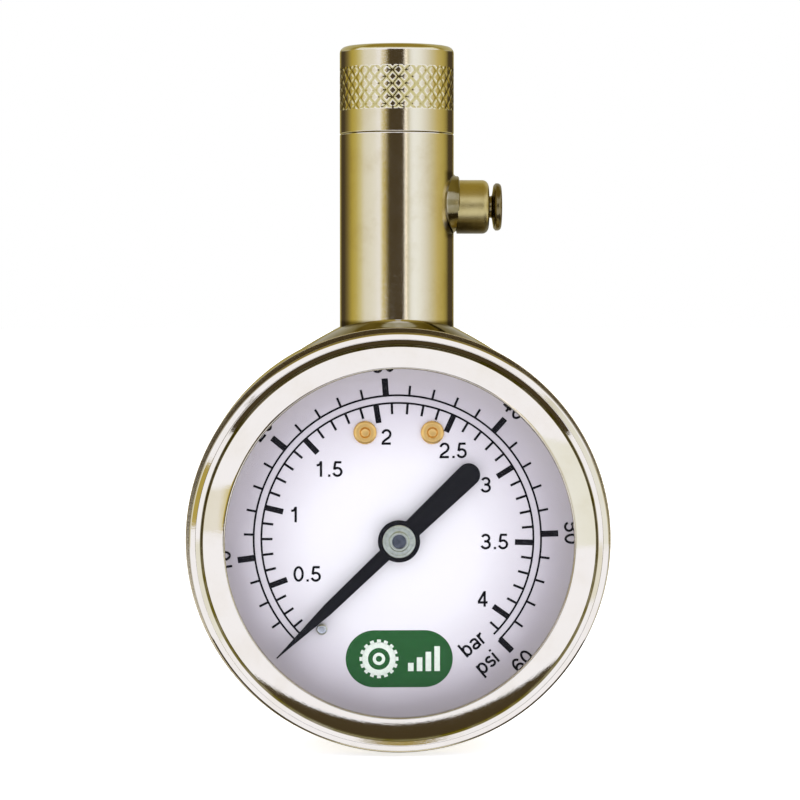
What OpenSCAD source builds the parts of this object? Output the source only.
// Pocket dial gauge for tyre pressure: a brass case with a Bourdon-tube movement,
// a stem with a push-on valve chuck, and a bleed button on the stem's side.
// Millimetres. The origin is the centre of the chuck's mouth and +Z leaves the mouth.
// The dial faces -Y and the bleed button points to +X.
// Depths in the case are measured forward, towards -Y, from the stem's axis.

/* [Chuck and stem] */
// Radius of the stem and of the chuck cap
stem_r = 6.25; // [6.1:0.05:6.6]
// Height of the chuck cap
cap_h = 9.5; // [9:0.1:10.5]
// Rounding of the cap's top edge
cap_edge_r = 0.7; // [0.3:0.1:1.1]
// Radius of the mouth that takes the tyre's valve
mouth_r = 4.05; // [4:0.01:4.1]
// Depth of the mouth, down to the rubber seal
mouth_depth = 3.7; // [3.4:0.1:4]
// Radius of the spigot that the cap screws onto
spigot_r = 5; // [4.8:0.05:5.1]
// Thickness of the rubber seal
seal_t = 2.9; // [2.6:0.1:3]
// Radius of the air passage in the stem
air_r = 1.2; // [1:0.05:1.3]
// Radius of the fillet at the stem's foot
foot_fillet_r = 1.6; // [1.2:0.1:1.8]

/* [Case] */
// Height of the chuck's mouth above the dial's centre
dial_drop = 53.6; // [52:0.1:56]
// Outer radius of the case
case_r = 23; // [22.9:0.05:23.2]
// Wall thickness of the case
case_wall = 1.2; // [1:0.05:1.3]
// Depth of the case's front edge
case_front = 6.6; // [6.5:0.05:6.7]
// Depth behind the stem's axis of the case's back face
case_back = 7.4; // [7.3:0.05:8]
// Rounding of the case's rear edge
case_edge_r = 1.4; // [0.6:0.1:1.6]

/* [Bezel and window] */
// Outer radius of the bezel ring
bezel_r = 22.5; // [22.3:0.05:22.7]
// Depth of the bezel's front face
bezel_front = 10.9; // [10.8:0.05:11.2]
// How far the bezel's sloping face falls to its groove
face_drop = 0.62; // [0.4:0.02:0.7]
// Inner radius of the groove in the bezel's face
groove_in = 21; // [20.9:0.02:21.1]
// Radius of the window in the bezel
window_r = 18.64; // [18.4:0.02:18.8]
// Rounding of the bezel's outer edge
bezel_edge_r = 0.5; // [0.3:0.1:0.6]
// Radius of the clear lens
lens_r = 20.5; // [20.3:0.05:20.55]
// Thickness of the clear lens
lens_t = 1.2; // [1:0.05:1.25]

/* [Dial] */
// Radius of the dial plate
dial_r = 20.3; // [20:0.05:20.4]
// Depth of the dial's printed face
dial_front = 6.55; // [6.5:0.01:6.6]
// Thickness of the dial plate
dial_t = 0.5; // [0.4:0.05:0.55]
// Half the distance between the two dial rivets
rivet_x = 3.63; // [3.5:0.01:3.8]
// Height of the dial rivets above the dial's centre
rivet_up = 11.67; // [11.4:0.01:12]
// Distance of the pointer's stop pin from the dial's centre
stop_dist = 12.62; // [12.5:0.01:12.8]

/* [Pointer] */
// Direction of the pointer at rest, counterclockwise from +X as seen from the front
rest_angle = 223.7; // [222:0.1:225]
// Length of the pointer from its centre to its tip
pointer_len = 18.2; // [17.5:0.1:18.4]
// Length of the pointer's tail
tail_len = 11.6; // [11:0.1:11.8]
// Radius of the pointer's hub
hub_r = 2.27; // [2.1:0.01:2.4]
// Depth of the pointer's back face
pointer_back = 7.5; // [7.4:0.05:7.6]
// Thickness of the pointer
pointer_t = 0.4; // [0.3:0.05:0.4]

/* [Movement] */
// Gear module
gear_module = 0.16; // [0.16]
// Number of teeth on the pinion
pinion_teeth = 12; // [12]
// Number of teeth that the sector's full circle would have
sector_teeth = 96; // [96]
// Angle that the sector turns through, in degrees
sector_travel = 33.6; // [30:0.1:34]
// Length of the sector's tail, from its arbor to the link pin
tail_arm = 3.4; // [3.3:0.05:3.5]
// Radial clearance of arbors and pins in their holes
run_gap = 0.04; // [0.03:0.005:0.05]
// Thickness of the movement's plates
plate_t = 0.8; // [0.7:0.05:0.8]
// Number of turns in the hairspring
hairspring_turns = 4.5; // [3.5:1:5.5]

/* [Bourdon tube] */
// Radius of the tube's curve
tube_r = 18; // [17.8:0.05:18.1]
// Thickness of the flattened tube along the curve's radius
tube_thick = 2; // [1.8:0.1:2.2]
// Width of the flattened tube
tube_width = 6; // [5.6:0.1:6]
// Wall thickness of the tube
tube_wall = 0.3; // [0.25:0.05:0.35]

/* [Bleed valve] */
// Distance of the bleed valve's axis below the chuck's mouth
bleed_drop = 17.45; // [17:0.05:18.5]
// Radius of the bleed valve's barrel
barrel_r = 2.94; // [2.9:0.02:3.1]
// Distance of the barrel's end from the stem's axis
barrel_end = 10.07; // [10:0.01:10.2]
// Radius of the bleed button
button_r = 2.6; // [2.4:0.05:2.7]
// Thickness of the bleed button
button_t = 1.05; // [0.9:0.05:1.1]
// Gap between the button and the barrel when the button is out
button_gap = 0.48; // [0.46:0.01:0.5]

/* [Hidden] */
$fn = 96;

brass = [0.78, 0.68, 0.38];
steel = [0.72, 0.73, 0.75];
black = [0.08, 0.08, 0.09];
rubber = [0.12, 0.12, 0.13];

// Chuck
thread_gap = 0.03;
pin_disc_r = 2.5;
pin_disc_t = 0.8;
core_pin_r = 0.6;
seal_hole_r = 1.7;
spigot_top = -mouth_depth - seal_t;

// Bead round the bezel's face
bead_front = bezel_front - face_drop;
bead_crest_r = bezel_r - 0.65;
groove_floor = bead_front - 0.34;

// Stem foot and shank, heights above the dial's centre
shank_r = 3;
shank_end = 15;
shank_bore_end = 16.2;
port_up = 17.3;
port_r = 0.6;
groove_r = 2.5;
groove_h = 1.6;
foot_r = stem_r + foot_fillet_r;
foot_up = sqrt(case_r * case_r - foot_r * foot_r) + 0.25;
skirt_r = 9.2;

// Socket block
block_x = 6;
block_low = 9.5;
block_high = 19.5;
block_back = -4.2;
block_boss_r = 5;
block_boss_high = 20.9;

// Bezel and lens
bezel_spigot_r = case_r - case_wall - 0.05;
bezel_bore_r = 20.6;
spigot_depth = 1.5;
lens_front = 10;
lens_back = lens_front - lens_t;
gasket_t = 0.4;
ring_inner_r = 19.5;
dial_back = dial_front - dial_t;

// Movement, depths forward from the stem's axis
back_plate_front = block_back;
back_plate_back = back_plate_front - plate_t;
front_plate_back = 2.2;
front_plate_front = front_plate_back + plate_t;
end_play = 0.1;
sector_half_t = 0.4;
link_back = 0.6;
link_front = 1.1;
pin_r = 0.35;
pin_head_r = 0.8;
pin_head_back = 1.2;
pin_head_front = 1.5;
pinion_pitch_r = gear_module * pinion_teeth / 2;
sector_pitch_r = gear_module * sector_teeth / 2;
sector_at = [-(pinion_pitch_r + sector_pitch_r), 0];
upper_pin = sector_at + tail_arm * [cos(180 - sector_travel / 2), sin(180 - sector_travel / 2)];
lower_pin = [-12.2, -6.6];
open_pivot_gap = 0.2;
pillar_at = [[-11, 5], [2.8, 5.5], [-5.5, -8.3]];
movement_screw_at = [[-4.2, 12.2], [4.2, 12.2]];
arbor_r = 0.5;
arbor_pivot_r = 0.3;
arbor_journal_r = 0.6;
arbor_seat_r = 0.75;
sector_arbor_r = 0.6;
sector_pivot_r = 0.35;

// Hairspring
collet_r = 1.25;
spring_inner_r = 1.35;
spring_pitch = 0.62;
spring_strip = 0.12;
spring_low = -2.7;
spring_h = 0.45;
spring_end_angle = 360 * hairspring_turns;
spring_end_r = spring_inner_r + spring_pitch * hairspring_turns;

// Bourdon tube, angles counterclockwise from +X as seen from the front
tube_root_angle = 79.5;
tube_tip_angle = -160;
tip_plug_angle = 8;
ear_root_angle = tube_tip_angle - 5.6;
ear_r = 0.6;

// Bleed valve, distances from the stem's axis
boss_r = 3.15;
boss_up = 0.2;
boss_end = 6.85;
bleed_shank_r = 2.2;
bleed_inner_end = 2;
chamber_r = 1.8;
chamber_low = 5.9;
chamber_high = 9.35;
seat_low = 4.7;
seat_r = 0.9;
valve_chamber_r = 1.7;
neck_r = 1.2;
rod_r = 0.6;
collar_low = 8.3;
collar_high = 8.75;
bleed_seal_t = 0.58;
retainer_t = 0.4;
valve_r = 1.4;
button_low = barrel_end + button_gap;

// Local frame at the dial's centre: x to the right, y up, z towards the viewer.
module dial_frame() translate([0, 0, -dial_drop]) rotate([90, 0, 0]) children();

// Local frame on the bleed valve's axis: z away from the stem.
module bleed_frame() translate([0, 0, -bleed_drop]) rotate([0, 90, 0]) children();

// A solid disc or ring between two depths of the present frame.
module disc(r, low, high, hole = 0) {
    translate([0, 0, low]) difference() {
        cylinder(r = r, h = high - low);
        if (hole > 0) translate([0, 0, -1]) cylinder(r = hole, h = high - low + 2);
    }
}

// What to cut from a square corner at p to round it; side is the corner's outward direction.
module corner_cut(p, r, side = [1, 1]) {
    translate(p)
        mirror([side[0] < 0 ? 1 : 0, 0])
            mirror([0, side[1] < 0 ? 1 : 0])
                difference() {
                    translate([-r, -r]) square([r + 1, r + 1]);
                    translate([-r, -r]) circle(r);
                }
}

// A flat bar with round ends from p to q.
module bar(p, q, r) {
    run = q - p;
    translate(p) circle(r);
    translate(q) circle(r);
    translate(p) rotate(atan2(run[1], run[0])) translate([0, -r]) square([norm(run), 2 * r]);
}

module at_each(places) {
    for (p = places) translate(p) children();
}

// ---- Chuck and stem ----

module chuck_cap() {
    color(brass) rotate_extrude($fn = 144) difference() {
        translate([0, -cap_h]) square([stem_r, cap_h]);
        corner_cut([stem_r, 0], cap_edge_r);
        translate([-1, -mouth_depth]) square([mouth_r + 1, mouth_depth + 1]);
        translate([-1, -cap_h - 1]) square([spigot_r + thread_gap + 1, cap_h - mouth_depth + 1]);
    }
}

module chuck_seal() {
    color(rubber) disc(spigot_r - 0.05, spigot_top, -mouth_depth, seal_hole_r);
}

module core_pin() {
    color(brass) difference() {
        union() {
            disc(pin_disc_r, spigot_top - pin_disc_t, spigot_top);
            disc(core_pin_r, spigot_top - pin_disc_t, -mouth_depth - 0.2);
        }
        for (k = [0:2]) rotate(120 * k) translate([0.95, 0]) disc(0.25, spigot_top - 2, spigot_top + 1);
    }
}

module stem_foot() {
    rotate_extrude($fn = 144) difference() {
        polygon([
            [stem_r - 1, 20], [skirt_r, 20], [skirt_r, foot_up - 0.85], [foot_r, foot_up],
            [foot_r, foot_up + foot_fillet_r], [stem_r - 1, foot_up + foot_fillet_r]
        ]);
        translate([foot_r, foot_up + foot_fillet_r]) circle(foot_fillet_r);
    }
}

module stem() {
    top = -cap_h;
    color(brass) difference() {
        union() {
            difference() {
                union() {
                    disc(stem_r, -dial_drop + 20, top, $fn = 144);
                    translate([0, 0, -dial_drop]) stem_foot();
                    translate([0, 0, boss_up]) bleed_frame() disc(boss_r, 4, boss_end);
                }
                dial_frame() disc(case_r, -20, 20, $fn = 180);
                dial_frame() translate([-20, 0, case_front]) cube(40);
            }
            disc(spigot_r, top - 1, spigot_top);
            disc(shank_r, -dial_drop + shank_end, -dial_drop + case_r + 1);
        }
        disc(air_r, -dial_drop + shank_bore_end, 0);
        disc(pin_disc_r, spigot_top - pin_disc_t, 0);
        bleed_frame() disc(bleed_shank_r, 0, boss_end + 1);
        translate([0, 0, -dial_drop + port_up]) {
            rotate([0, 90, 0]) disc(port_r, -4, 4);
            disc(shank_r + 1, -groove_h / 2, groove_h / 2, groove_r);
        }
    }
}

// The washer between the case's wall and the socket block.
module stem_gasket() {
    color(rubber) intersection() {
        disc(block_boss_r, -dial_drop + block_boss_high, -dial_drop + 23, shank_r);
        dial_frame() disc(case_r - case_wall, -20, 20, $fn = 180);
    }
}

module socket_block() {
    color(brass) difference() {
        dial_frame() difference() {
            translate([-block_x, block_low, block_back])
                cube([2 * block_x, block_high - block_low, dial_back - block_back]);
            at_each(rivet_places()) disc(0.75, dial_back - 3, dial_back + 1);
            at_each(movement_screw_at) disc(0.7, block_back - 1, block_back + 3);
        }
        disc(shank_r, -dial_drop + shank_end - 0.4, 0);
        dial_frame() tube_sweep(tube_thick, tube_width, 60, tube_root_angle);
        translate([0, 0, -dial_drop + port_up]) rotate([0, 90, 0]) disc(port_r, 0, 4);
    }
    color(brass) disc(block_boss_r, -dial_drop + block_high, -dial_drop + block_boss_high, shank_r);
}

function rivet_places() = [[-rivet_x, rivet_up], [rivet_x, rivet_up]];

// ---- Bleed valve ----

module bleed_body() {
    color(brass) bleed_frame() rotate_extrude() difference() {
        union() {
            translate([0, bleed_inner_end]) square([bleed_shank_r, boss_end - bleed_inner_end]);
            translate([0, boss_end]) square([barrel_r, barrel_end - boss_end]);
        }
        corner_cut([barrel_r, barrel_end], 0.7);
        translate([-1, 0]) square([1 + neck_r + 0.05, 20]);
        translate([-1, chamber_low]) square([1 + chamber_r, chamber_high - chamber_low]);
        translate([-1, 0]) square([1 + valve_chamber_r, seat_low]);
    }
    color(brass) bleed_frame() disc(neck_r + 0.2, seat_low, chamber_low, seat_r);
}

module bleed_plunger() {
    color(brass) bleed_frame() rotate_extrude() {
        difference() {
            translate([0, button_low]) square([button_r, button_t]);
            corner_cut([button_r, button_low + button_t], 0.45);
            corner_cut([button_r, button_low], 0.35, [1, -1]);
        }
        translate([0, collar_high]) square([neck_r, button_low - collar_high]);
        translate([0, collar_low]) square([valve_r + 0.25, collar_high - collar_low]);
        translate([0, valve_low() - 0.4]) square([rod_r, collar_low - valve_low() + 0.4]);
        translate([0, valve_low() - 0.4]) square([rod_r + 0.3, 0.4]);
    }
}

function valve_low() = seat_low - 0.02 - bleed_seal_t - retainer_t;

module bleed_seal() {
    low = valve_low() + retainer_t;
    color(rubber) bleed_frame() disc(valve_r, low, low + bleed_seal_t, rod_r);
}

module bleed_retainer() {
    color(brass) bleed_frame() disc(valve_r, valve_low(), valve_low() + retainer_t, rod_r);
}

module bleed_spring() {
    color(steel) bleed_frame()
        coil(mean_r = 1.25, wire_r = 0.15, low = chamber_low + 0.17, high = collar_low - 0.17, turns = 5);
}

// A round wire wound along z, as a ring of points for each step along the helix.
module coil(mean_r, wire_r, low, high, turns) {
    sides = 8;
    steps = 20 * turns;
    points = [
        for (i = [0:steps]) for (j = [0:sides - 1])
            let (t = 360 * turns * i / steps, a = 360 * j / sides, r = mean_r + wire_r * cos(a))
                [r * cos(t), r * sin(t), low + (high - low) * i / steps + wire_r * sin(a)]
    ];
    sleeves = [
        for (i = [0:steps - 1]) for (j = [0:sides - 1])
            let (a = i * sides + j, b = i * sides + (j + 1) % sides)
                [a, a + sides, b + sides, b]
    ];
    ends = [[for (j = [0:sides - 1]) j], [for (j = [sides - 1:-1:0]) steps * sides + j]];
    polyhedron(points, concat(sleeves, ends), convexity = 8);
}

// ---- Case, bezel and dial ----

module case() {
    color(brass) difference() {
        dial_frame() rotate_extrude($fn = 180) difference() {
            translate([0, -case_back]) square([case_r, case_back + case_front]);
            translate([-1, case_wall - case_back]) square([case_r - case_wall + 1, 30]);
            corner_cut([case_r, -case_back], case_edge_r, [1, -1]);
            corner_cut([case_r, case_front], 0.25);
        }
        disc(shank_r + 0.05, -dial_drop + 20, -dial_drop + 26);
    }
}

module bezel() {
    color(brass) dial_frame() rotate_extrude($fn = 180) difference() {
        union() {
            translate([window_r, case_front]) square([bezel_r - window_r, bezel_front - case_front]);
            translate([0, case_front - spigot_depth]) square([bezel_spigot_r, spigot_depth + 0.5]);
        }
        translate([-1, 0]) square([bezel_bore_r + 1, lens_front]);
        translate([-1, 0]) square([window_r + 1, 20]);
        corner_cut([bezel_r, bead_front], bezel_edge_r);
        corner_cut([window_r, bezel_front], 0.15, [-1, 1]);
        polygon([
            [window_r + 0.2, bezel_front], [groove_in, bead_front], [groove_in + 0.1, groove_floor],
            [groove_in + 0.25, groove_floor], [bead_crest_r, bead_front], [bezel_r + 1, bead_front],
            [bezel_r + 1, 20], [window_r + 0.2, 20],
        ]);
    }
}

module lens() {
    color([0.85, 0.92, 0.95, 0.3]) dial_frame() disc(lens_r, lens_back, lens_front, $fn = 180);
}

module lens_gasket() {
    color(rubber) dial_frame() disc(lens_r, lens_back - gasket_t, lens_back, ring_inner_r, $fn = 180);
}

module lens_spacer() {
    color("white") dial_frame()
        disc(lens_r, dial_front, lens_back - gasket_t, ring_inner_r, $fn = 180);
}

module dial() {
    color([0.94, 0.93, 0.95]) dial_frame() difference() {
        disc(dial_r, dial_back, dial_front, arbor_seat_r + 0.75, $fn = 180);
        at_each(rivet_places()) disc(0.75, 0, 20);
        translate(stop_place()) disc(0.6, 0, 20);
    }
}

module dial_rivets() {
    color([0.8, 0.6, 0.3]) dial_frame() at_each(rivet_places()) rotate_extrude() difference() {
        union() {
            translate([0, dial_front]) square([1.25, 0.45]);
            translate([0, dial_back - 2.8]) square([0.75, dial_t + 2.9]);
        }
        corner_cut([1.25, dial_front + 0.45], 0.35);
        translate([0, dial_front + 0.95]) circle(0.7);
    }
}

// The pin stands against the pointer's side, a hair clear of it.
function stop_place() =
    let (offset = needle_half_width(stop_dist) + 0.6 + 0.05, a = rest_angle + asin(offset / stop_dist))
        stop_dist * [cos(a), sin(a)];

module stop_pin() {
    color(steel) dial_frame() translate(stop_place()) disc(0.6, dial_back, pointer_back + 0.6);
}

// ---- Pointer ----

// Half the needle's width at a distance from the pointer's centre.
function needle_half_width(d) = d < 10.7 ? 0.75 - 0.014 * d : max(0.06, 0.6 - 0.075 * (d - 10.7));

module pointer() {
    stations = [10.7, 14, 16.5, pointer_len];
    tail_r = 1.24;
    side = concat(
        [[tail_r - tail_len, tail_r], [0, 1], [1, needle_half_width(1)]],
        [for (d = stations) [d, needle_half_width(d)]]
    );
    color(black) dial_frame() rotate(rest_angle) translate([0, 0, pointer_back])
        linear_extrude(pointer_t) difference() {
            union() {
                polygon(concat([for (p = side) [p[0], -p[1]]], [for (k = [len(side) - 1:-1:0]) side[k]]));
                circle(hub_r);
                translate([tail_r - tail_len, 0]) circle(tail_r);
            }
            circle(1.2);
        }
}

module pointer_bushing() {
    color(steel) dial_frame() difference() {
        union() {
            disc(1.2, pointer_back - 0.6, pointer_back + pointer_t);
            disc(1.78, pointer_back + pointer_t, pointer_back + pointer_t + 0.3);
            disc(1, pointer_back + pointer_t, pointer_back + pointer_t + 0.45);
        }
        disc(arbor_seat_r, 0, 20);
    }
}

// ---- Movement ----

// Angle in degrees of the involute at radius r of a gear with base radius base_r.
function involute(r, base_r) =
    let (a = r > base_r ? acos(base_r / r) : 0) tan(a) * 180 / PI - a;

// Points of one tooth, centred on +X, from its root to its tip and back.
function tooth(teeth, tip, root, slack) =
    let (
        pitch_r = gear_module * teeth / 2,
        base_r = pitch_r * cos(20),
        half = 90 / teeth - slack + involute(pitch_r, base_r),
        radii = [root, max(root, base_r), pitch_r, (pitch_r + tip) / 2, tip],
        flank = [for (r = radii) [r, half - involute(r, base_r)]]
    )
        concat(
            [for (f = flank) [f[0] * cos(f[1]), -f[0] * sin(f[1])]],
            [for (k = [len(flank) - 1:-1:0]) flank[k][0] * [cos(flank[k][1]), sin(flank[k][1])]]
        );

module pinion_arbor() {
    pinion_root = pinion_pitch_r - 1.3 * gear_module;
    color(steel) dial_frame() {
        translate([0, 0, -1]) linear_extrude(2) {
            circle(pinion_root);
            for (k = [0:pinion_teeth - 1]) rotate((k + 0.5) * 360 / pinion_teeth)
                polygon(concat([[0, 0]], tooth(pinion_teeth, pinion_pitch_r + gear_module,
                    pinion_root, 1.2)));
        }
        disc(arbor_r, back_plate_front + end_play, front_plate_back - end_play);
        disc(arbor_pivot_r, back_plate_back + 0.1, 0);
        disc(arbor_journal_r, front_plate_back - end_play, 6.8);
        disc(arbor_seat_r, 6.7, pointer_back + pointer_t + 0.35);
    }
}

module sector_gear() {
    rim_outer = sector_pitch_r - 1.3 * gear_module;
    rim_inner = rim_outer - 1.1;
    from = -sector_travel - 3;
    to = 4;
    color(brass) dial_frame() difference() {
        translate([0, 0, -sector_half_t]) linear_extrude(2 * sector_half_t) union() {
            translate(sector_at) {
                difference() {
                    circle(rim_outer, $fn = 180);
                    circle(rim_inner, $fn = 180);
                    polygon(concat([[0, 0]], [for (k = [0:6]) let (a = to + k * (360 + from - to) / 6)
                        30 * [cos(a), sin(a)]]));
                }
                for (k = [ceil(from / 3.75):floor(to / 3.75)]) rotate(k * 360 / sector_teeth)
                    polygon(tooth(sector_teeth, sector_pitch_r + 0.85 * gear_module,
                        rim_outer - 0.05, 0.15));
                circle(1.5);
                for (a = [from + 2, (from + to) / 2, to - 2]) bar([0, 0], (rim_inner + 0.4) * [cos(a), sin(a)], 0.4);
            }
            bar(sector_at, upper_pin, 0.8);
        }
        translate(sector_at) disc(sector_arbor_r, -5, 5);
        translate(upper_pin) disc(pin_r, -5, 5);
    }
}

module sector_arbor() {
    color(steel) dial_frame() translate(sector_at) {
        disc(sector_arbor_r, back_plate_front + end_play, front_plate_back - end_play);
        disc(sector_pivot_r, back_plate_back + 0.1, front_plate_front - 0.1);
    }
}

// The outline that both plates share, round the three pillars.
module plate_outline() {
    hull() at_each(pillar_at) circle(1.5, $fn = 48);
}

module front_plate() {
    color(brass) dial_frame() difference() {
        translate([0, 0, front_plate_back]) linear_extrude(plate_t) plate_outline();
        disc(arbor_journal_r + run_gap, 0, 9);
        translate(sector_at) disc(sector_pivot_r + run_gap, 0, 9);
        at_each(pillar_at) disc(0.5, 0, 9);
    }
}

module back_plate() {
    color(brass) dial_frame() difference() {
        translate([0, 0, back_plate_back]) linear_extrude(plate_t) {
            plate_outline();
            translate([-5.6, 4.5]) square([11.2, 9.5]);
        }
        disc(arbor_pivot_r + run_gap, -9, 0);
        translate(sector_at) disc(sector_pivot_r + run_gap, -9, 0);
        at_each(pillar_at) disc(0.5, -9, 0);
        at_each(movement_screw_at) disc(0.7, -9, 0);
    }
}

module pillars() {
    color(brass) dial_frame() at_each(pillar_at) {
        difference() {
            disc(0.9, back_plate_front, front_plate_back);
            disc(0.5, front_plate_back - 2, 9);
        }
        disc(0.5, back_plate_back, back_plate_front);
    }
}

// A slotted cheese-head screw that points to -z, its head's underside at z = 0.
module screw(shank_r, shank_len, head_r, head_h) {
    difference() {
        union() {
            disc(head_r, 0, head_h);
            disc(shank_r, -shank_len, 0);
        }
        translate([-head_r - 1, -head_r / 8, head_h * 0.55]) cube([2 * head_r + 2, head_r / 4, head_h]);
    }
}

module plate_screws() {
    color(steel) dial_frame() at_each(pillar_at) translate([0, 0, front_plate_front])
        screw(0.5, plate_t + 1.8, 0.95, 0.6);
}

module movement_screws() {
    color(steel) dial_frame() at_each(movement_screw_at) translate([0, 0, back_plate_back])
        rotate([180, 0, 0]) screw(0.7, plate_t + 2.8, 1.3, 0.7);
}

module link() {
    color(brass) dial_frame() difference() {
        translate([0, 0, link_back]) linear_extrude(link_front - link_back) union() {
            bar(upper_pin, lower_pin, 0.5);
            translate(upper_pin) circle(0.8);
            translate(lower_pin) circle(1);
        }
        translate(upper_pin) disc(pin_r + run_gap, -5, 5);
        translate(lower_pin) disc(pin_r + open_pivot_gap, -5, 5);
    }
}

module link_pin(place) {
    color(steel) dial_frame() translate(place) {
        disc(pin_r, -sector_half_t, pin_head_front);
        disc(pin_head_r, pin_head_back, pin_head_front);
    }
}

module link_pin_upper() link_pin(upper_pin);

module link_pin_lower() link_pin(lower_pin);

// A flat strip wound in a spiral from the collet out to the stud.
module hairspring() {
    steps = 28 * hairspring_turns;
    function spiral(side) = [
        for (i = [0:steps])
            let (t = spring_end_angle * i / steps, r = spring_inner_r + spring_pitch * t / 360 + side)
                r * [cos(t), sin(t)]
    ];
    outer = spiral(spring_strip / 2);
    inner = spiral(-spring_strip / 2);
    color(steel) dial_frame() translate([0, 0, spring_low]) linear_extrude(spring_h)
        polygon(concat(outer, [for (k = [len(inner) - 1:-1:0]) inner[k]]));
}

module hairspring_collet() {
    color(brass) dial_frame() disc(collet_r, spring_low - 0.1, spring_low + spring_h + 0.1, arbor_r);
}

// The post that holds the hairspring's outer end; it stands on the back plate.
module hairspring_stud() {
    color(brass) dial_frame() rotate(spring_end_angle) translate([spring_end_r, 0])
        translate([-0.5, 0, back_plate_front]) cube([1, 1, spring_low + spring_h + 0.2 - back_plate_front]);
}

// ---- Bourdon tube ----

// A flat-sided oval, thick along the curve's radius and wide along the dial's axis.
module oval(thick, width) {
    square([thick, width - thick], center = true);
    for (s = [-1, 1]) translate([0, s * (width - thick) / 2]) circle(thick / 2);
}

// The oval swept round the dial's centre between two angles.
module tube_sweep(thick, width, from, to) {
    rotate(from) rotate_extrude(angle = to - from) translate([tube_r, 0]) oval(thick, width);
}

module bourdon_tube() {
    color(brass) dial_frame() rotate(tube_tip_angle)
        rotate_extrude(angle = tube_root_angle - tube_tip_angle) translate([tube_r, 0]) difference() {
            oval(tube_thick, tube_width);
            oval(tube_thick - 2 * tube_wall, tube_width - 2 * tube_wall);
        }
}

module tube_tip() {
    plug_end = tube_tip_angle - 0.1;
    color(brass) dial_frame() difference() {
        union() {
            tube_sweep(tube_thick + 0.5, tube_width + 0.4, plug_end - tip_plug_angle, plug_end);
            translate([0, 0, -sector_half_t]) linear_extrude(2 * sector_half_t) {
                bar((tube_r - 0.6) * [cos(ear_root_angle), sin(ear_root_angle)], lower_pin, ear_r);
                translate(lower_pin) circle(0.85);
            }
        }
        translate(lower_pin) disc(pin_r, -5, 5);
    }
}

chuck_cap();
chuck_seal();
core_pin();
stem();
stem_gasket();
socket_block();
bleed_body();
bleed_plunger();
bleed_seal();
bleed_retainer();
bleed_spring();
case();
bezel();
lens();
lens_gasket();
lens_spacer();
dial();
dial_rivets();
stop_pin();
pointer();
pointer_bushing();
pinion_arbor();
sector_gear();
sector_arbor();
front_plate();
back_plate();
pillars();
plate_screws();
movement_screws();
link();
link_pin_upper();
link_pin_lower();
hairspring();
hairspring_collet();
hairspring_stud();
bourdon_tube();
tube_tip();
